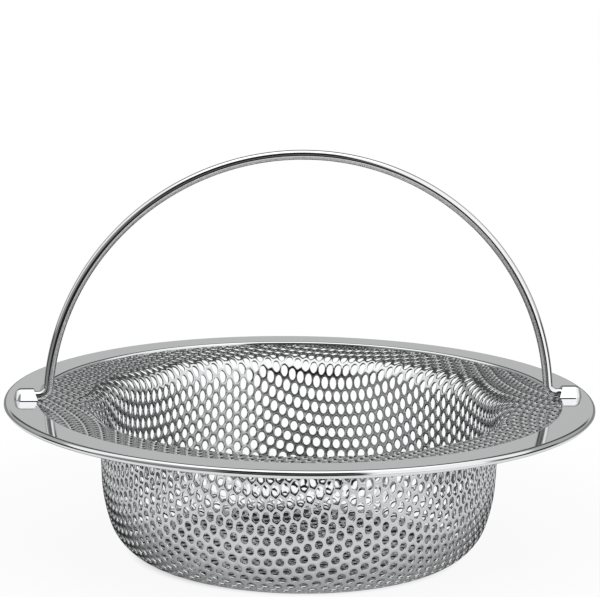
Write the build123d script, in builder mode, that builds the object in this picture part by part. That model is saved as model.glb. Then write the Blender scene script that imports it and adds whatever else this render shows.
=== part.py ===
from build123d import *
from math import cos, hypot, radians, sin, sqrt
import os

# A sink strainer of stainless steel: a drawn, perforated basket whose edge is held in a folded
# rim ring, and a wire bail that swings in two pockets pressed up in the ring.
# Lengths are in millimetres and angles in degrees. The part stands on its bottom, at z = 0,
# round the Z axis, and its bail turns about an axis along X.

# Overall sizes. The bowl is measured outside, where its straight wall ends below
rim_diameter = 114.3
bowl_diameter = 76.6
overall_depth = 31.8
sheet = 0.5

# Rim ring: a strip folded over the basket's edge
ring_width = 6.6
ring_under_width = 4.0
fold_facets = 4

# Basket: the bends of its drawn profile, from the flat bottom out to the flange
lower_bend_radius = 22.0
corner_radius = 10.2
corner_turn = 50.0
upper_bend_radius = 30.0
upper_bend_turn = 16.0
wall_draft = 3.0
# The shoulder bends within a share of the room between the bowl and the rim
shoulder_share = 0.32

# The bowl is made of flat facets, fine enough to look round, in equal sectors
sectors = 6
sector_facets = 5
lower_bend_facets = 2
corner_facets = 3
upper_bend_facets = 1
shoulder_facets = 3

# Punched holes, as they lie in the flat blank. They are nearly four times as large and as far
# apart as the real ones, which are 1.7 mm wide and 2.5 mm apart
hole_pitch = 9.8
hole_size = 6.0
hole_sides = 6
edge_web = 1.5

# Bail: a bright wire, drawn as a bar of many sides
wire_diameter = 1.9
wire_sides = 8
bail_rise_share = 0.967
bail_bend_radius = 2.0
bail_pin_length = 3.0
bail_ring_gap = 1.0

# Pockets pressed up in the ring for the bail's ends
pivot_clearance = 0.08
pin_end_gap = 0.1
mouth_lean = 23.0

# One overrun serves every cut
overrun = 2.0

# Places that follow from the sizes above
rim_radius = rim_diameter / 2
shoulder_radius = shoulder_share * (rim_radius - bowl_diameter / 2)
ring_top = overall_depth
ring_bottom = ring_top - 3 * sheet
ring_inner_radius = rim_radius - ring_width
fold_centre_radius = rim_radius - sheet - sheet / 2 / cos(radians(90 / fold_facets))
flange_top = ring_top - sheet
flange_bottom = flange_top - sheet
wire_radius = wire_diameter / 2
pivot_height = flange_top + wire_radius + pivot_clearance
bail_half_span = ring_inner_radius - bail_ring_gap - wire_radius
pin_end = bail_half_span + bail_bend_radius + bail_pin_length

os.makedirs("parts", exist_ok=True)

# Basket profile, along the middle of the sheet. The wall's length makes up the depth
wall_turn = 90 - wall_draft
lower_bend_turn = wall_turn - upper_bend_turn - corner_turn
corner_end_turn = lower_bend_turn + corner_turn
bend_turns = [
    (lower_bend_radius, 0, lower_bend_turn),
    (corner_radius, lower_bend_turn, corner_end_turn),
    (upper_bend_radius, corner_end_turn, wall_turn),
]
bends_reach = sum(r * (sin(radians(b)) - sin(radians(a))) for r, a, b in bend_turns)
bends_rise = sum(r * (cos(radians(a)) - cos(radians(b))) for r, a, b in bend_turns)
shoulder_rise = shoulder_radius * (1 - cos(radians(wall_turn)))
wall_length = (flange_bottom - bends_rise - shoulder_rise) / sin(radians(wall_turn))
bottom_flat_radius = bowl_diameter / 2 - sheet / 2 - bends_reach

with BuildLine() as profile:
    bottom_line = Line((0, sheet / 2), (bottom_flat_radius, sheet / 2))
    lower_bend = JernArc(bottom_line @ 1, bottom_line % 1, lower_bend_radius, lower_bend_turn)
    corner = JernArc(lower_bend @ 1, lower_bend % 1, corner_radius, corner_turn)
    upper_bend = JernArc(corner @ 1, corner % 1, upper_bend_radius, upper_bend_turn)
    wall_line = PolarLine(upper_bend @ 1, wall_length, wall_turn)
    shoulder = JernArc(wall_line @ 1, wall_line % 1, shoulder_radius, -wall_turn)
    flange_line = Line(shoulder @ 1, (fold_centre_radius, flange_bottom + sheet / 2))
middle_line = profile.wire()

# The sheet keeps its area as it is drawn, so a point of the profile comes from the radius in
# the flat blank that encloses as much area as the drawn sheet has inside that point
profile_steps = 400
step_length = middle_line.length / profile_steps
blank_radii = [0.0]
for step in range(profile_steps):
    radius_here = middle_line.position_at((step + 0.5) / profile_steps).X
    blank_radii.append(sqrt(blank_radii[-1] ** 2 + 2 * radius_here * step_length))


def profile_share(blank_radius):
    """The share of the profile's length that lies inside a radius of the flat blank."""
    step = sum(radius <= blank_radius for radius in blank_radii) - 1
    inner, outer = blank_radii[step], blank_radii[step + 1]
    return (step + (blank_radius - inner) / (outer - inner)) / profile_steps


def drawn_hole(across, along):
    """The plane and the corners of one hole, from its centre in the flat blank."""
    blank_radius = hypot(across, along)
    turn = Vector(1, 0).get_signed_angle(Vector(across, along)) if blank_radius else 0
    share = profile_share(blank_radius)
    place = middle_line.position_at(share)
    slope = middle_line.tangent_at(share)
    stretch = blank_radius / place.X if blank_radius else 1
    plane = Plane(
        origin=Vector(place.X, 0, place.Y).rotate(Axis.Z, turn),
        x_dir=Vector(slope.X, 0, slope.Y).rotate(Axis.Z, turn),
        z_dir=Vector(slope.Y, 0, -slope.X).rotate(Axis.Z, turn),
    )
    hole_corner = hole_size / 2 / cos(radians(180 / hole_sides))
    corners = []
    for side in range(hole_sides):
        angle = radians((side + 0.5) * 360 / hole_sides - turn)
        corners.append((hole_corner * cos(angle) * stretch, -hole_corner * sin(angle) / stretch))
    return plane, corners


def sector_holes():
    """The holes of one sector: the points of a triangular lattice in it or just past its sides."""
    row_pitch = hole_pitch * sin(radians(60))
    reach = blank_radii[-1] - edge_web - hole_size / 2
    rows = int(reach / row_pitch)
    columns = int(reach / hole_pitch) + 1
    half_angle = radians(180 / sectors)
    for row in range(-rows, rows + 1):
        for column in range(columns + 1):
            across = (column - row % 2 / 2) * hole_pitch
            along = row * row_pitch
            past_side = abs(along) * cos(half_angle) - across * sin(half_angle)
            if hypot(across, along) < reach and past_side < hole_size:
                yield drawn_hole(across, along)


def skin_points(distance):
    """Points of the bowl's profile, moved off the middle of the sheet by a distance."""
    bends = [lower_bend, corner, upper_bend, shoulder]
    facets = [lower_bend_facets, corner_facets, upper_bend_facets, shoulder_facets]
    places = [(lower_bend, 0)]
    for bend, count in zip(bends, facets):
        first = 0 if bend is shoulder else 1
        places += [(bend, facet / count) for facet in range(first, count + 1)]
    points = []
    for bend, share in places:
        slope = bend % share
        points.append(bend @ share + Vector(slope.Y, -slope.X) * distance)
    return points


def sector_corners(radius):
    """The corners of one sector of a round section that has flat facets."""
    half_angle = 180 / sectors
    corners = [(0, 0)]
    for facet in range(sector_facets + 1):
        angle = radians(half_angle * (2 * facet / sector_facets - 1))
        corners.append((radius * cos(angle), radius * sin(angle)))
    return corners


# Basket: one sector, with its holes, repeated round the axis
with BuildPart() as sector_hollow:
    for point in skin_points(-sheet / 2):
        with BuildSketch(Plane.XY.offset(point.Y)):
            Polygon(*sector_corners(point.X), align=None)
    loft(ruled=True)

with BuildPart() as basket_sector:
    for point in skin_points(sheet / 2):
        with BuildSketch(Plane.XY.offset(point.Y)):
            Polygon(*sector_corners(point.X), align=None)
    loft(ruled=True)
    with BuildSketch(Plane.XY.offset(flange_bottom)):
        Polygon(*sector_corners(fold_centre_radius), align=None)
    extrude(amount=sheet)
    add(sector_hollow.part, mode=Mode.SUBTRACT)
    for plane, corners in sector_holes():
        with BuildSketch(plane.offset(overrun)):
            Polygon(*corners, align=None)
    extrude(amount=-2 * overrun, mode=Mode.SUBTRACT)

with BuildPart() as strainer_basket:
    with PolarLocations(0, sectors):
        add(basket_sector.part)
strainer_basket.part.label = "strainer_basket"
export_step(strainer_basket.part, "parts/strainer_basket.step")

# Pocket for a bail end, on the +X side: a round-ended tunnel with a leaning mouth
pocket_radius = wire_radius + pivot_clearance
pocket_outer_radius = pocket_radius + sheet
dome_centre = pin_end + pin_end_gap


def tunnel(radius, start, foot):
    """Add a tunnel along X that ends in a dome and stands on a height."""
    length = dome_centre - start
    height = pivot_height - foot
    with Locations((start, 0, pivot_height)):
        Cylinder(radius, length, rotation=(0, 90, 0), align=(Align.CENTER, Align.CENTER, Align.MIN))
        Box(length, 2 * radius, height, align=(Align.MIN, Align.CENTER, Align.MAX))
    with Locations((dome_centre, 0, pivot_height)):
        Sphere(radius)
        Cylinder(radius, height, align=(Align.CENTER, Align.CENTER, Align.MAX))


with BuildPart() as pocket_hollow:
    tunnel(pocket_radius, ring_inner_radius - overrun, flange_top)
    split(bisect_by=Plane.XY.offset(flange_top), keep=Keep.TOP)

with BuildPart() as pocket:
    tunnel(pocket_outer_radius, ring_inner_radius, ring_top)
    split(bisect_by=Plane.XY.offset(ring_top), keep=Keep.TOP)
    mouth_plane = Plane(origin=(ring_inner_radius, 0, ring_top), z_dir=(1, 0, 0))
    split(bisect_by=mouth_plane.rotated((0, -mouth_lean, 0)), keep=Keep.TOP)

# Rim ring: the folded strip with both pockets
with BuildPart() as rim_ring:
    with BuildSketch(Plane.XZ):
        with BuildLine():
            top_middle = ring_top - sheet / 2
            top_line = Line((ring_inner_radius, top_middle), (fold_centre_radius, top_middle))
            fold = JernArc(top_line @ 1, top_line % 1, sheet, -180, mode=Mode.PRIVATE)
            fold_line = Polyline(*[fold @ (facet / fold_facets) for facet in range(fold_facets + 1)])
            Line(fold_line @ 1, (rim_radius - ring_under_width, ring_bottom + sheet / 2))
        trace(line_width=sheet)
    revolve(axis=Axis.Z)
    with PolarLocations(0, 2):
        add(pocket.part)
    with PolarLocations(0, 2):
        add(pocket_hollow.part, mode=Mode.SUBTRACT)
rim_ring.part.label = "rim_ring"
export_step(rim_ring.part, "parts/rim_ring.step")

# Bail: an arch of wire whose ends turn outward into the pockets
with BuildPart() as bail_handle:
    with BuildLine(Plane.XZ) as bail_line:
        Line((-pin_end, pivot_height), (-bail_half_span, pivot_height))
        bail_top = pivot_height + bail_half_span * bail_rise_share
        ThreePointArc((-bail_half_span, pivot_height), (0, bail_top), (bail_half_span, pivot_height))
        Line((bail_half_span, pivot_height), (pin_end, pivot_height))
        pin_roots = bail_line.vertices().sort_by(Axis.X)[1:3]
        fillet(pin_roots, bail_bend_radius)
    with BuildSketch(Plane(origin=(-pin_end, 0, pivot_height), z_dir=(1, 0, 0))):
        RegularPolygon(wire_radius, wire_sides)
    sweep()
bail_handle.part.label = "bail_handle"
export_step(bail_handle.part, "parts/bail_handle.step")
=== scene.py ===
# %% [markdown]
# # A sink strainer in stainless steel
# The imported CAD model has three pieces: a perforated basket, the folded rim ring that holds its
# edge, and the wire bail. It keeps their sizes and how they move, with coarse holes and flat
# facets. Each piece is built again here at full finish, from the same sizes, and it stands in
# for its CAD node. Everything is worked out in millimetres and turned to metres at the end.

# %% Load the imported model
from math import atan2, cos, degrees, radians, sin, sqrt, tan

import bpy
import numpy as np
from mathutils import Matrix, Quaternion, Vector


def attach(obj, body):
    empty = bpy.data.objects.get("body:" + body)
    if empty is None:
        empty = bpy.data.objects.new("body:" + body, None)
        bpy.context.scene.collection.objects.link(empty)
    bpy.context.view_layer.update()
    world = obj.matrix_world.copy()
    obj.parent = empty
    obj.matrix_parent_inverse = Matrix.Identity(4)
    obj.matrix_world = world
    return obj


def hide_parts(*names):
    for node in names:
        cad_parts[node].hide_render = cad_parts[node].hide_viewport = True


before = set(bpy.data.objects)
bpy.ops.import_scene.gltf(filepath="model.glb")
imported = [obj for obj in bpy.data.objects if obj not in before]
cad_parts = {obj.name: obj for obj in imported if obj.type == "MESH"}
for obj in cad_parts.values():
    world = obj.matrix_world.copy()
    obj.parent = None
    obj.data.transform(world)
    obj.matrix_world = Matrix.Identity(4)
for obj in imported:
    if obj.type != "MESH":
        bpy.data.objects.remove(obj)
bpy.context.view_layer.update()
scene = bpy.context.scene
mm = 0.001

# %% [markdown]
# ## Sizes
# The rim is 114.3 mm across and the basket 31.8 mm deep. Ring and basket are pressed from
# 0.5 mm sheet, and the bail is a 1.9 mm wire.

# %% Sizes of the real pieces, in millimetres
rim_radius, ring_inner_radius, ring_under_radius = 57.15, 50.55, 53.15
ring_top, sheet = 31.8, 0.5
bowl_radius = 38.3
wire_radius = 0.95
pivot_clearance = 0.08
flange_top = ring_top - sheet
pivot_height = flange_top + wire_radius + pivot_clearance
bail_half_span, bail_rise, bail_bend_radius = 48.6, 47.0, 2.0
pin_end = 53.6
print("the bail turns", round(pivot_height, 2), "mm up")

# %% [markdown]
# ## Helpers for meshes
# All three pieces are made from lists of points and faces. One function turns such lists into
# an object. Normals can be given for each face corner, where the surface is curved and its
# mesh is coarse, so that a mirror finish doesn't show the facets.


# %% Turn points and faces into an object
def make_piece(name, points, faces, body, corner_normals=None):
    """A mesh object from points in millimetres, that rides on a CAD body."""
    mesh = bpy.data.meshes.new(name)
    mesh.from_pydata((np.asarray(points) * mm).tolist(), [], faces)
    mesh.update()
    mesh.shade_smooth()
    if corner_normals is not None:
        mesh.normals_split_custom_set(corner_normals)
    piece = bpy.data.objects.new(name, mesh)
    scene.collection.objects.link(piece)
    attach(piece, body)
    print(name, "has", len(mesh.polygons), "faces")
    return piece


def grid_faces(rows, columns, close_rows=False, close_columns=False):
    """Quads over a grid of points that is stored row by row."""
    faces = []
    for row in range(rows if close_rows else rows - 1):
        for column in range(columns if close_columns else columns - 1):
            below, right = (row + 1) % rows, (column + 1) % columns
            faces.append((row * columns + column, row * columns + right,
                          below * columns + right, below * columns + column))
    return faces


# %% [markdown]
# ## Profile of the drawn basket
# The basket starts as a flat round blank. Drawing bends it: a gentle curve under the bottom, a
# tight corner, a nearly straight wall, a shoulder, and a flange that dips a little towards the
# bowl. Walking along that profile in small steps gives, for each step, how far from the axis
# it is and how high.

# %% Walk along the profile, along the middle of the sheet
# Radius and turn in degrees of each bend, from the flat bottom up to the straight wall
bends = [(22.0, 21.0), (10.2, 50.0), (30.0, 16.0)]
wall_turn = sum(turn for radius, turn in bends)
shoulder_share = 0.24
shoulder_radius = shoulder_share * (rim_radius - bowl_radius)
# The flange dips by a few degrees over a length, and a wide bend levels it under the ring
dish, dish_length, dish_radius = 4.0, 6.5, 6.0
edge_inside_fold = 1.0
turned = 0.0
bends_reach = bends_rise = 0.0
for radius, turn in bends:
    bends_reach += radius * (sin(radians(turned + turn)) - sin(radians(turned)))
    bends_rise += radius * (cos(radians(turned)) - cos(radians(turned + turn)))
    turned += turn
bottom_flat = bowl_radius - sheet / 2 - bends_reach
shoulder_rise = shoulder_radius * (cos(radians(dish)) - cos(radians(wall_turn)))
shoulder_rise += dish_length * sin(radians(dish)) + dish_radius * (1 - cos(radians(dish)))
wall_length = (flange_top - sheet - bends_rise - shoulder_rise) / sin(radians(wall_turn))
moves = [(bottom_flat, 0.0)]
moves += [(radius * radians(turn), turn) for radius, turn in bends]
moves += [(wall_length, 0.0), (shoulder_radius * radians(wall_turn - dish), dish - wall_turn),
          (dish_length, 0.0), (dish_radius * radians(dish), -dish)]

walk = [(0.0, sheet / 2, 0.0)]
walk_step = 0.1
for length, turn in moves + [(None, 0.0)]:
    reach, height, heading = walk[-1]
    # The last move has no length of its own: it goes on to the edge, inside the fold
    length = rim_radius - edge_inside_fold - reach if length is None else length
    count = max(1, round(length / walk_step))
    for step in range(count):
        middle = radians(heading + turn * (step + 0.5) / count)
        reach += length / count * cos(middle)
        height += length / count * sin(middle)
        walk.append((reach, height, heading + turn * (step + 1) / count))
walk = np.array(walk)
print("the flange's edge is", round(walk[-1, 1], 2), "mm up, and the bottom is flat for",
      round(bottom_flat, 1), "mm from the axis")

# %% [markdown]
# ## Where a point of the blank ends up
# The sheet nearly keeps its area while it is drawn, but on the steep wall it is squeezed round
# and grows thicker. So the radius in the blank of each step follows from the area inside it,
# and from how much the wall has thickened. That places the rows of holes.

# %% The radius in the flat blank of each step of the walk
wall_thickening = 0.15
lengths = np.hypot(*np.diff(walk[:, :2], axis=0).T)
mean_reach = (walk[1:, 0] + walk[:-1, 0]) / 2
steepness = np.sin(np.radians(walk[1:, 2])) ** 2
used = mean_reach * lengths * (1 + wall_thickening * steepness)
blank_radius = np.sqrt(2 * np.concatenate([[0.0], np.cumsum(used)]))
print("blank is", round(2 * blank_radius[-1], 1), "mm across")


def drawn(flat_points):
    """Middle of the sheet and its inward normal, for points of the flat blank."""
    blank = np.hypot(flat_points[:, 0], flat_points[:, 1])
    around = np.arctan2(flat_points[:, 1], flat_points[:, 0])
    reach = np.interp(blank, blank_radius, walk[:, 0])
    height = np.interp(blank, blank_radius, walk[:, 1])
    heading = np.radians(np.interp(blank, blank_radius, walk[:, 2]))
    out = np.column_stack([np.cos(around), np.sin(around)])
    places = np.column_stack([reach[:, None] * out, height])
    normals = np.column_stack([-np.sin(heading)[:, None] * out, np.cos(heading)])
    return places, normals


# %% [markdown]
# ## Punched holes
# The holes stand in a triangular pattern, so each has a six-sided cell of sheet round it.
# Drawing stretches the holes most at the top of the wall, and they keep their size on the
# bottom and the flange.

# %% Centres of the cells in the flat blank
hole_pitch, hole_radius = 2.5, 0.92
stretched_share = 1.1
pattern_turn = radians(-15.0)
row_pitch = hole_pitch * sin(radians(60.0))

wall_foot = np.interp(bends_rise, walk[:, 1], blank_radius)
wall_top = np.interp(walk[-1, 1] - shoulder_rise, walk[:, 1], blank_radius)
stretch_places = [wall_foot, wall_top, wall_top + 2 * hole_pitch]
stretch_shares = [1.0, stretched_share, 1.0]
reach_limit = blank_radius[-1] - hole_pitch
count = int(reach_limit / hole_pitch) + 2
centres = np.array([((column + row / 2) * hole_pitch, row * row_pitch)
                    for row in range(-2 * count, 2 * count + 1)
                    for column in range(-2 * count, 2 * count + 1)])
centres = centres[np.hypot(centres[:, 0], centres[:, 1]) < reach_limit]
turner = np.array([[cos(pattern_turn), sin(pattern_turn)],
                   [-sin(pattern_turn), cos(pattern_turn)]])
print("the blank has", len(centres), "holes")

# %% [markdown]
# A cell is a ring of quads on either side of the sheet, between the cell's edge and the hole,
# and a ring of quads through the hole. Punching rolls the edges of a hole over: the sheet
# thins towards it, and its normals lean in. That gives each web its own small highlight.

# %% Build the cells of the perforated sheet
cell_points = 12
edge_drop = 0.05
# How far the normals lean into the hole, on the sheet beside it and on its own wall
edge_lean, round_lean = radians(14.0), radians(62.0)
# Neighbouring cells share a corner where their corners agree to this many digits
shared_digits = 3
angles = np.radians(np.arange(cell_points) * 360 / cell_points)
cell_edge = hole_pitch / 2 / np.where(np.arange(cell_points) % 2, cos(radians(30.0)), 1.0)
spokes = np.column_stack([np.cos(angles), np.sin(angles)])


def leaning(normals, inward, lean):
    """Normals that lean from the sheet's own normal into the hole."""
    return cos(lean) * normals + sin(lean) * inward


def perforated_sheet(name, cells):
    """The piece of perforated sheet that holds the cells with these centres."""
    number = len(cells)
    edges = cells[:, None] + spokes * cell_edge[:, None]
    grown = np.interp(np.hypot(cells[:, 0], cells[:, 1]), stretch_places, stretch_shares)
    holes = cells[:, None] + spokes * hole_radius * grown[:, None, None]
    corners = np.round(edges.reshape(-1, 2), shared_digits)
    unique, shared = np.unique(corners, axis=0, return_inverse=True)
    shared = shared.reshape(number, cell_points)
    edge_places, edge_normals = drawn(unique @ turner)
    hole_places, hole_normals = drawn(holes.reshape(-1, 2) @ turner)
    hole_centres, _ = drawn(cells @ turner)
    inward = np.repeat(hole_centres, cell_points, axis=0) - hole_places
    inward /= np.linalg.norm(inward, axis=1)[:, None]
    half, thin = sheet / 2, sheet / 2 - edge_drop
    points = np.concatenate([
        edge_places + half * edge_normals, edge_places - half * edge_normals,
        hole_places + thin * hole_normals, hole_places - thin * hole_normals])
    edge_up, edge_down = shared, shared + len(unique)
    hole_up = 2 * len(unique) + np.arange(number * cell_points).reshape(number, cell_points)
    hole_down = hole_up + number * cell_points
    after = np.roll(np.arange(cell_points), -1)
    quads = [
        np.stack([edge_up, edge_up[:, after], hole_up[:, after], hole_up], axis=-1),
        np.stack([edge_down[:, after], edge_down, hole_down, hole_down[:, after]], axis=-1),
        np.stack([hole_up, hole_up[:, after], hole_down[:, after], hole_down], axis=-1)]
    faces = np.concatenate([q.reshape(-1, 4) for q in quads])
    sheet_faces = 2 * number * cell_points
    surface_normals, wall_normals = (
        np.concatenate([edge_normals, -edge_normals, leaning(hole_normals, inward, lean),
                        leaning(-hole_normals, inward, lean)])
        for lean in (edge_lean, round_lean))
    normals = np.concatenate([surface_normals[faces[:sheet_faces]],
                              wall_normals[faces[sheet_faces:]]])
    # The sides that only one cell has are the piece's border, and a row of quads closes it
    sides = np.stack([shared, shared[:, after]], axis=-1).reshape(-1, 2)
    ordered = np.sort(sides, axis=1)
    _, first, times = np.unique(ordered, axis=0, return_index=True, return_counts=True)
    border = sides[first[times == 1]]
    border_quads = np.column_stack([border[:, ::-1], border + len(unique)])
    border_out = edge_places[border].mean(axis=1)
    border_out[:, 2] = 0
    border_out /= np.linalg.norm(border_out, axis=1)[:, None]
    faces = np.concatenate([faces, border_quads])
    normals = np.concatenate([normals, np.repeat(border_out[:, None], 4, axis=1)])
    piece = make_piece(name, points, faces.tolist(), "basket", normals.reshape(-1, 3).tolist())
    print(name, "has", number, "holes")
    return piece


# %% [markdown]
# The real basket is one sheet. It is cut into two meshes here, at the shoulder, only to keep
# each of them light.

# %% Bowl and flange of the basket
in_bowl = np.hypot(centres[:, 0], centres[:, 1]) < wall_top
basket_bowl = perforated_sheet("basket_bowl", centres[in_bowl])
basket_flange = perforated_sheet("basket_flange", centres[~in_bowl])
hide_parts("strainer_basket")

# %% [markdown]
# ## Rim ring
# A strip of plain sheet, folded round the basket's edge. Its section is walked once round: the
# rolled inner edge, the flat top, the full round of the fold, the underside with its cut end,
# and back inside the fold. Turning it about the axis gives the ring.

# %% Section of the folded strip
fold_radius = 1.5 * sheet
fold_centre = (rim_radius - fold_radius, ring_top - fold_radius)
grip_slack = 0.01
# A short flat beside each rounding keeps the rounding's shading off the wide flats
holding = 0.06


def arc(centre, radius, start, end, count):
    """Points on an arc, with angles in degrees from straight out."""
    turns = np.radians(np.linspace(start, end, count))
    return [(centre[0] + radius * cos(t), centre[1] + radius * sin(t)) for t in turns]


section = arc((ring_inner_radius + sheet, flange_top), sheet, 180, 90, 9)
section += [(ring_inner_radius + sheet + holding, ring_top)]
section += [(fold_centre[0] - holding, ring_top)]
section += arc(fold_centre, fold_radius, 90, -90, 25)
section += [(fold_centre[0] - holding, ring_top - 2 * fold_radius)]
section += arc((ring_under_radius + sheet / 2, ring_top - 2 * fold_radius + sheet / 2),
               sheet / 2, -90, -180, 5)
section += [(ring_under_radius, ring_top - 2 * sheet - grip_slack)]
section += arc(fold_centre, sheet / 2 + grip_slack, -90, 90, 9)
section = np.array(section)
print("the strip's section has", len(section), "points")

# %% Turn the section round the axis
ring_steps = 360
around = np.radians(np.arange(ring_steps) * 360 / ring_steps)
ring_points = np.stack([section[:, 0, None] * np.cos(around),
                        section[:, 0, None] * np.sin(around),
                        section[:, 1, None] + 0 * around], axis=-1).reshape(-1, 3)
ring_faces = grid_faces(len(section), ring_steps, close_rows=True, close_columns=True)
rim_ring = make_piece("rim_ring_folded", ring_points, ring_faces, "basket")
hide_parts("rim_ring")

# %% [markdown]
# ## Pivot pockets
# Each end of the bail sits in a pocket that a punch has pressed up out of the ring: a short
# tunnel with a round top, sloping sides, a round end and a leaning mouth. Its wall is the same
# sheet. Half of its section is swept along one side, round the end and back along the other
# side. The end is steeper than the sides.

# %% Sweep a pocket
pocket_inside = wire_radius + pivot_clearance
pocket_outside = pocket_inside + sheet
pin_end_gap = 0.1
dome_centre = pin_end + pin_end_gap
mouth_lean = radians(23.0)
side_slope = 50.0
end_share = 0.3
# The sides stop a little above the ring, at an upright foot that shows as a thin dark line
foot_rise, foot_splay, foot_sunk = 0.12, 0.02, 0.01
top_points, end_points, straight_points = 15, 25, 7

outer_half = arc((0, pivot_height), pocket_outside, 90, 90 - side_slope, top_points)
steep_from, side_top = outer_half[-1]
side_foot = steep_from + (side_top - ring_top - foot_rise) / tan(radians(side_slope))
outer_half += [(side_foot, ring_top + foot_rise), (side_foot + foot_splay, ring_top - foot_sunk)]
inner_half = arc((0, pivot_height), pocket_inside, 90, 0, top_points)
inner_half += [(pocket_inside, (pivot_height + ring_top) / 2),
               (pocket_inside, ring_top - foot_sunk)]


def end_reach(offset):
    """How far the round end reaches: it is steeper than the sides, below its top."""
    return min(offset, steep_from) + max(0.0, offset - steep_from) * end_share


def pocket_rows(half_section):
    """Rows of points of one skin of the pocket on the +X side, from the top down."""
    rows = []
    for offset, height in half_section:
        mouth = ring_inner_radius + max(0.0, height - ring_top) * tan(mouth_lean)
        straight = np.linspace(mouth, dome_centre, straight_points)[:-1]
        row = [(x, offset, height) for x in straight]
        row += [(dome_centre + end_reach(offset) * cos(t), offset * sin(t), height)
                for t in np.radians(np.linspace(90, -90, end_points))]
        row += [(x, -offset, height) for x in straight[::-1]]
        rows.append(row)
    return rows


# The outer skin goes down and the inner skin comes back up, so that one grid makes both, and
# quads between their ends close the mouth
rows = pocket_rows(outer_half) + pocket_rows(inner_half)[::-1]
row_count, columns = len(rows), len(rows[0])
pocket_skin = np.array(rows).reshape(-1, 3)
pocket_faces = grid_faces(row_count, columns)
for row in range(len(outer_half) - 1):
    for side in (0, columns - 1):
        quad = (row * columns + side, (row + 1) * columns + side,
                (row_count - 2 - row) * columns + side, (row_count - 1 - row) * columns + side)
        pocket_faces.append(quad if side == 0 else quad[::-1])
print("a pocket stands", round(pivot_height + pocket_outside - ring_top, 2), "mm over the ring")


# %% [markdown]
# The pressing takes its metal out of the ring, so the ring is open under each pocket. A round
# ended block cuts those openings with a Boolean.

# %% Cut the ring under the pockets, and set the pockets on it
def sharp_by_angle(piece, angle):
    """Keep the edges sharp where faces meet at more than an angle, and the rest smooth."""
    piece.data.set_sharp_from_angle(angle=radians(angle))


def bake_modifiers(piece):
    """Replace the piece's mesh with what its modifiers make of it."""
    made = piece.evaluated_get(bpy.context.evaluated_depsgraph_get())
    mesh = bpy.data.meshes.new_from_object(made)
    piece.modifiers.clear()
    piece.data = mesh


def weld(piece, distance):
    """Join points that lie in the same place."""
    tool = piece.modifiers.new("weld", "WELD")
    tool.merge_threshold = distance * mm
    bake_modifiers(piece)


cut_below, cut_above, cut_inside = 1.0, 0.2, 2.0
slot_points = []
for height in (flange_top - cut_below, ring_top + cut_above):
    slot_points += [(ring_inner_radius - cut_inside, pocket_inside, height)]
    slot_points += [(dome_centre + pocket_inside * cos(t), pocket_inside * sin(t), height)
                    for t in np.radians(np.linspace(90, -90, end_points))]
    slot_points += [(ring_inner_radius - cut_inside, -pocket_inside, height)]
slot_points = np.array(slot_points)
half_count = len(slot_points) // 2
slot_faces = [tuple(range(half_count)), tuple(range(2 * half_count - 1, half_count - 1, -1))]
slot_faces += [(k, (k + 1) % half_count, half_count + (k + 1) % half_count, half_count + k)[::-1]
               for k in range(half_count)]
pockets = []
for name, side in (("pivot_pocket_right", 1), ("pivot_pocket_left", -1)):
    cutter = make_piece("slot_cutter", slot_points * (side, side, 1), slot_faces, "basket")
    cut = rim_ring.modifiers.new("slot", "BOOLEAN")
    cut.operation, cut.object, cut.solver = "DIFFERENCE", cutter, "EXACT"
    bake_modifiers(rim_ring)
    bpy.data.objects.remove(cutter)
    pocket = make_piece(name, pocket_skin * (side, side, 1), pocket_faces, "basket")
    weld(pocket, distance=0.002)
    sharp_by_angle(pocket, angle=30)
    pockets.append(pocket)
sharp_by_angle(rim_ring, angle=35)

# %% [markdown]
# ## Bail
# One length of wire: an arch, a tight bend at each foot and a straight end that turns in its
# pocket. A circle is swept along that line. The line stays in one plane, so the frame that the
# circle stands in is just the line's own direction and the Y axis.

# %% Centre line of the wire
arch_radius = (bail_half_span**2 + bail_rise**2) / 2 / bail_rise
arch_centre = pivot_height + bail_rise - arch_radius
# The bend touches the pin's line and the arch from inside: its centre is one radius above the
# line, and one radius beyond the arch
bend_height = pivot_height + bail_bend_radius
bend_offset = sqrt((arch_radius + bail_bend_radius)**2 - (bend_height - arch_centre)**2)
touch = degrees(atan2(bend_height - arch_centre, bend_offset))
path = [(pin_end, pivot_height)]
path += [(x, pivot_height) for x in np.linspace(pin_end, bend_offset, 5)[1:-1]]
path += arc((bend_offset, bend_height), bail_bend_radius, 270, 180 + touch, 13)
path += arc((0, arch_centre), arch_radius, touch, 90, 91)[1:]
path = np.array(path)
path = np.concatenate([path, path[-2::-1] * (-1, 1)])
print("the wire is", round(np.hypot(*np.diff(path, axis=0).T).sum(), 1), "mm long")

# %% Sweep the wire
wire_sides = 32
end_taper = 0.84
ahead = np.gradient(path, axis=0)
ahead /= np.linalg.norm(ahead, axis=1)[:, None]
across = np.column_stack([-ahead[:, 1], 0 * ahead[:, 0], ahead[:, 0]])
turns = np.radians(np.arange(wire_sides) * 360 / wire_sides)
circle = (np.cos(turns)[None, :, None] * across[:, None]
          + np.sin(turns)[None, :, None] * np.array([0.0, 1.0, 0.0]))
line = np.column_stack([path[:, 0], 0 * path[:, 0], path[:, 1]])
taper = np.ones(len(line))
taper[[0, -1]] = end_taper
wire_points = (line[:, None] + circle * (wire_radius * taper)[:, None, None]).reshape(-1, 3)
wire_faces = grid_faces(len(line), wire_sides, close_columns=True)
wire_faces += [tuple(range(wire_sides)),
               tuple(range(len(wire_points) - 1, len(wire_points) - wire_sides - 1, -1))]
bail_wire = make_piece("bail_wire", wire_points, wire_faces, "handle")
sharp_by_angle(bail_wire, angle=40)
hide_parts("bail_handle")

# %% [markdown]
# ## Stainless steel, in three finishes
# All the pieces are the same stainless steel, and how each surface was made sets its finish.
# Steel is a metal, so metallic is 1 and its colour tints what it mirrors.


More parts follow.
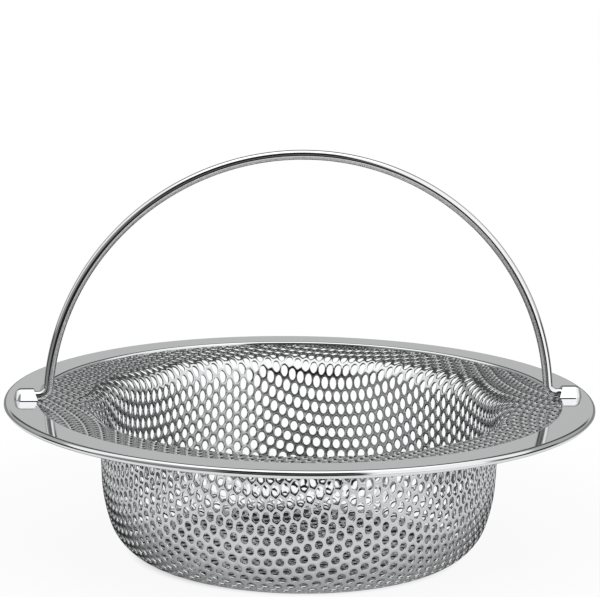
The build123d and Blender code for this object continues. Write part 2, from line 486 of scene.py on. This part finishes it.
# %% Helpers for materials
def linear(hex_colour):
    """An sRGB hex colour as linear values for Blender's sockets."""
    values = [int(hex_colour[k:k + 2], 16) / 255 for k in (1, 3, 5)]
    return [v / 12.92 if v <= 0.04045 else ((v + 0.055) / 1.055) ** 2.4 for v in values] + [1.0]


def node(tree, kind, links=(), **settings):
    """Add a node, set its properties and input values, and link sockets into its inputs."""
    made = tree.nodes.new(kind)
    for name, value in settings.items():
        setattr(made, name, value)
    for socket, value in dict(links).items():
        if isinstance(value, bpy.types.NodeSocket):
            tree.links.new(value, made.inputs[socket])
        else:
            made.inputs[socket].default_value = value
    return made


# Noise keeps mostly between these values, which are spread over the whole range of roughness
noise_low, noise_high = 0.3, 0.7


def steel(name, colour, roughness, lump_size, lump_depth, grain_size, spread):
    """A stainless steel whose shape waves a little and whose polish is uneven."""
    material = bpy.data.materials.new(name)
    material.use_nodes = True
    tree = material.node_tree
    shader = tree.nodes["Principled BSDF"]
    shader.inputs["Base Color"].default_value = linear(colour)
    shader.inputs["Metallic"].default_value = 1.0
    place = node(tree, "ShaderNodeTexCoord").outputs["Object"]
    lumps = node(tree, "ShaderNodeTexNoise", {
        "Vector": place, "Scale": 1 / (lump_size * mm), "Detail": 2.0})
    bump = node(tree, "ShaderNodeBump", {
        "Height": lumps.outputs["Fac"], "Distance": lump_depth * mm, "Strength": 1.0})
    tree.links.new(bump.outputs["Normal"], shader.inputs["Normal"])
    grain = node(tree, "ShaderNodeTexNoise", {
        "Vector": place, "Scale": 1 / (grain_size * mm), "Detail": 3.0})
    polish = node(tree, "ShaderNodeMapRange", {
        "Value": grain.outputs["Fac"], "From Min": noise_low, "From Max": noise_high,
        "To Min": roughness * (1 - spread), "To Max": roughness * (1 + spread)})
    tree.links.new(polish.outputs["Result"], shader.inputs["Roughness"])
    return material


# %% [markdown]
# The basket's sheet is bright rolled stainless that punching and drawing have made uneven, so
# each web mirrors something else. The ring is buffed after folding: an even mirror. The wire is
# drawn through a die and polished, the brightest of the three. Sizes are in millimetres.

# %% The three finishes
drawn_sheet = steel("punched_and_drawn_stainless_sheet", "#C8C9CA", roughness=0.1,
                    lump_size=3.0, lump_depth=0.05, grain_size=1.2, spread=0.35)
buffed_strip = steel("buffed_stainless_strip", "#DADBDC", roughness=0.05,
                     lump_size=14.0, lump_depth=0.004, grain_size=2.0, spread=0.4)
bright_wire = steel("bright_drawn_stainless_wire", "#E2E2E3", roughness=0.05,
                    lump_size=6.0, lump_depth=0.002, grain_size=1.0, spread=0.3)
for piece, material in ((basket_bowl, drawn_sheet), (basket_flange, drawn_sheet),
                        (rim_ring, buffed_strip), (pockets[0], buffed_strip),
                        (pockets[1], buffed_strip), (bail_wire, bright_wire)):
    piece.data.materials.clear()
    piece.data.materials.append(material)
    print(piece.name, "is", material.name)

# %% [markdown]
# ## Studio
# Polished steel has no look of its own: it shows the room. The room here is a set of plain grey
# bands that run over the strainer from side to side. Behind it are a low dark board, a narrow
# grey strip and a dark wall, a wide soft box hangs overhead, and the side behind the camera is
# unlit but for a dim strip. The ground is pale, most of all on the camera's side. Towards the
# sides of the room the walls are plain grey and the soft box is dimmer. The camera itself sees
# plain white in place of the room.

# %% Directions in the room
# The room is turned with the camera, which stands a little to the left
camera_yaw = 0.084
world = bpy.data.worlds.new("studio")
scene.world = world
world.use_nodes = True
room = world.node_tree
room.nodes.clear()
direction = node(room, "ShaderNodeTexCoord").outputs["Generated"]
turned_room = node(room, "ShaderNodeVectorRotate", {
    "Vector": direction, "Angle": camera_yaw}, rotation_type="Z_AXIS")
axes = node(room, "ShaderNodeSeparateXYZ", {"Vector": turned_room.outputs["Vector"]})
over = node(room, "ShaderNodeMath", {0: axes.outputs["Z"], 1: axes.outputs["Y"]},
            operation="ARCTAN2").outputs["Value"]
before = node(room, "ShaderNodeMath", {0: axes.outputs["Y"], 1: -1.0}, operation="MULTIPLY")
bearing = node(room, "ShaderNodeMath", {0: axes.outputs["X"], 1: before.outputs["Value"]},
               operation="ARCTAN2").outputs["Value"]
# How far a direction points sideways where the room's sides begin, and where they are complete
aside_from, aside_to = 0.4, 0.55
sideways = node(room, "ShaderNodeMath", {0: axes.outputs["X"]}, operation="ABSOLUTE")
aside = node(room, "ShaderNodeMapRange", {
    "Value": sideways.outputs["Value"], "From Min": aside_from, "From Max": aside_to})
print("the room is turned by", round(degrees(camera_yaw), 1), "degrees")


# %% Grey levels from a table
def grey_levels(tree, value, table, low, high, unit):
    """Grey levels by a table of places along a value, which runs from low to high units."""
    share = node(tree, "ShaderNodeMapRange", {
        "Value": value, "From Min": low * unit, "From Max": high * unit})
    ramp = node(tree, "ShaderNodeValToRGB", {"Fac": share.outputs["Result"]})
    stops = ramp.color_ramp.elements
    while len(stops) > 1:
        stops.remove(stops[0])
    for k, (place, level) in enumerate(table):
        stop = stops[0] if k == 0 else stops.new(1.0)
        stop.position = (place - low) / (high - low)
        stop.color = (level, level, level, 1.0)
    return ramp.outputs["Color"]


# %% The bands over the strainer
# Degrees up from the horizon behind the strainer, over the top and down behind the camera
middle_table = [(-180, 0.02), (-167, 0.02), (-164, 1.15), (-95, 0.9), (-60, 0.5), (-14, 0.3),
                (-12, 0.12), (8, 0.12), (10, 0.58), (16, 0.6), (19, 0.08), (56, 0.12), (63, 1.6),
                (115, 1.6), (118, 0.02), (160, 0.02), (162, 0.2), (171, 0.2), (173, 0.02),
                (180, 0.02)]
side_table = [(-180, 0.3), (-95, 0.9), (-60, 0.5), (-14, 0.3), (-12, 0.13), (7, 0.13), (10, 0.5),
              (56, 0.55), (63, 1.2), (115, 1.2), (120, 0.4), (180, 0.3)]
one_degree = radians(1.0)
bands = node(room, "ShaderNodeMix", {
    "Factor": aside.outputs["Result"],
    "A": grey_levels(room, over, middle_table, -180, 180, one_degree),
    "B": grey_levels(room, over, side_table, -180, 180, one_degree)}, data_type="RGBA")
print("the room has", len(middle_table), "stops in the middle and", len(side_table), "aside")

# %% [markdown]
# Screens and black cards stand round the strainer at the height of the horizon. They give the
# upright wire and the fold of the rim their stripes. A white screen on the right in front is
# taller than the rest.

# %% Screens and cards round the strainer
# Bearings are degrees from the camera's side to the right, and heights are the upward part of
# a direction, from -1 straight down to 1 straight up
card_table = [(-180, 0.3), (-117, 0.3), (-113, 0.03), (-88, 0.03), (-84, 0.25), (-32, 0.25),
              (-28, 0.02), (24, 0.02), (28, 1.2), (74, 1.2), (78, 0.45), (84, 0.03),
              (113, 0.03), (117, 0.3), (180, 0.3)]
card_heights = [(-0.419, 0.0), (-0.349, 1.0), (0.07, 1.0), (0.122, 0.0)]
screen_level = 1.2
screen_bearings = [(-180, 0.0), (25, 0.0), (30, 1.0), (74, 1.0), (78, 0.0)]
screen_heights = [(-0.052, 0.0), (0.07, 1.0), (0.768, 1.0), (0.873, 0.0)]
carded = node(room, "ShaderNodeMix", {
    "Factor": grey_levels(room, axes.outputs["Z"], card_heights, -1.0, 1.0, 1.0),
    "A": bands.outputs["Result"],
    "B": grey_levels(room, bearing, card_table, -180, 180, one_degree)}, data_type="RGBA")
screen = node(room, "ShaderNodeMath", {
    0: grey_levels(room, bearing, screen_bearings, -180, 180, one_degree),
    1: grey_levels(room, axes.outputs["Z"], screen_heights, -1.0, 1.0, 1.0)},
    operation="MULTIPLY")
screened = node(room, "ShaderNodeMix", {
    "Factor": screen.outputs["Value"], "A": carded.outputs["Result"],
    "B": (screen_level, screen_level, screen_level, 1.0)}, data_type="RGBA")
ray_to_room = node(room, "ShaderNodeLightPath")
shown = node(room, "ShaderNodeMix", {
    "Factor": ray_to_room.outputs["Is Camera Ray"], "A": screened.outputs["Result"],
    "B": (1.0, 1.0, 1.0, 1.0)}, data_type="RGBA")
light = node(room, "ShaderNodeBackground", {
    "Color": shown.outputs["Result"], "Strength": 1.0})
node(room, "ShaderNodeOutputWorld", {"Surface": light.outputs["Background"]})
scene.view_settings.view_transform = "Standard"
print("the room has", len(room.nodes), "nodes")

# %% [markdown]
# ## Floor
# The floor is a disc just under the strainer, with painted shade and painted light in its colour.
# It is painted dark under and behind the strainer, as the strainer's shade, which shows through
# the holes and in the lower wall. Round that it is painted pale, most of all in front, as a lit
# floor. Outside the strainer's foot it is mixed with plain white to the camera, so it looks as
# white as the room and keeps a trace of the strainer's shade, partly real and partly painted.

# %% A disc for the floor
floor_radius, floor_drop, floor_sides = 130.0, 0.05, 64
turns = np.radians(np.arange(floor_sides) * 360 / floor_sides)
floor_mesh = bpy.data.meshes.new("studio_floor")
floor_mesh.from_pydata([(floor_radius * mm * cos(t), floor_radius * mm * sin(t), -floor_drop * mm)
                        for t in turns], [], [tuple(range(floor_sides))])
floor = bpy.data.objects.new("studio_floor", floor_mesh)
scene.collection.objects.link(floor)
print("the floor is", 2 * floor_radius, "mm across")

# %% The floor's paint, with painted shade and painted light
paint = bpy.data.materials.new("floor_paint_with_painted_shade_and_light")
paint.use_nodes = True
tree = paint.node_tree
painted = tree.nodes["Principled BSDF"]
painted.inputs["Roughness"].default_value = 0.8
place = node(tree, "ShaderNodeTexCoord").outputs["Object"]
ray_to_floor = node(tree, "ShaderNodeLightPath")


def floor_levels(behind, table):
    """Levels by the distance in mm from a point on the floor, behind the strainer's axis."""
    distance = node(tree, "ShaderNodeVectorMath", {
        0: place, 1: (0.0, behind * mm, 0.0)}, operation="DISTANCE")
    return grey_levels(tree, distance.outputs["Value"], table, 0, 2 * floor_radius, mm)


white_to_camera = floor_levels(6.0, [(27, 0.0), (33, 0.94), (120, 1.0)])
# A painted reflection: to the steel the floor glows plain white from 90 to 148 mm, and not under
# and behind the strainer or at the far edge
painted_glow_to_steel = floor_levels(40.0, [(60, 0.0), (90, 1.0), (148, 1.0), (156, 0.0)])
# Painted shade and light: the paint is dark under and behind the strainer as its shade, and pale
# round that as a lit floor
painted_lit_places = floor_levels(40.0, [(60, 0.0), (90, 1.0), (148, 1.0), (156, 0.1)])
painted_shade_and_light_colour = node(tree, "ShaderNodeMix", {
    "Factor": painted_lit_places, "A": linear("#3A3A3A"), "B": linear("#E6E6E6")}, data_type="RGBA")
tree.links.new(painted_shade_and_light_colour.outputs["Result"], painted.inputs["Base Color"])
seen_by_camera = node(tree, "ShaderNodeMath", {
    0: ray_to_floor.outputs["Is Camera Ray"], 1: white_to_camera}, operation="MULTIPLY")
whiteness = node(tree, "ShaderNodeMath", {
    0: ray_to_floor.outputs["Is Glossy Ray"], 1: painted_glow_to_steel,
    2: seen_by_camera.outputs["Value"]}, operation="MULTIPLY_ADD")
white = node(tree, "ShaderNodeEmission", {"Color": (1.0, 1.0, 1.0, 1.0), "Strength": 1.0})
both = node(tree, "ShaderNodeMixShader", {
    0: whiteness.outputs["Value"], 1: painted.outputs["BSDF"], 2: white.outputs["Emission"]})
tree.links.new(both.outputs["Shader"], tree.nodes["Material Output"].inputs["Surface"])
floor_mesh.materials.append(paint)
print("the floor is", paint.name)

# %% [markdown]
# ## Camera
# The camera stands about 600 mm away and 13 degrees up, a little to the left of straight in
# front, and is tipped by less than a degree. It aims above the rim, because the bail takes the
# upper half of the picture.

# %% Camera
picture_width, picture_height = 600, 597
focal_pixels = 3092.0
camera_distance = 600.0
camera_elevation, camera_roll = 0.231, 0.014
target, target_pixel = Vector((0, 0, ring_top)), (299.7, 397.2)
camera = bpy.data.objects.new("camera", bpy.data.cameras.new("camera"))
scene.collection.objects.link(camera)
scene.camera = camera
camera.data.sensor_width = 36.0
camera.data.lens = focal_pixels * camera.data.sensor_width / picture_width
back = Vector((-cos(camera_elevation) * sin(camera_yaw),
               -cos(camera_elevation) * cos(camera_yaw), sin(camera_elevation)))
camera.location = (target + back * camera_distance) * mm
seen = Vector(((target_pixel[0] - picture_width / 2) / focal_pixels,
               (picture_height / 2 - target_pixel[1]) / focal_pixels, -1.0))
straight = Vector((0, 0, -1))
camera.rotation_mode = "QUATERNION"
camera.rotation_quaternion = (
    (-back).to_track_quat("-Z", "Y") @ Quaternion((0, 0, 1), camera_roll)
    @ seen.normalized().rotation_difference(straight))
camera.data.clip_start, camera.data.clip_end = 0.05, 10.0
print("lens is", round(camera.data.lens, 1), "mm")
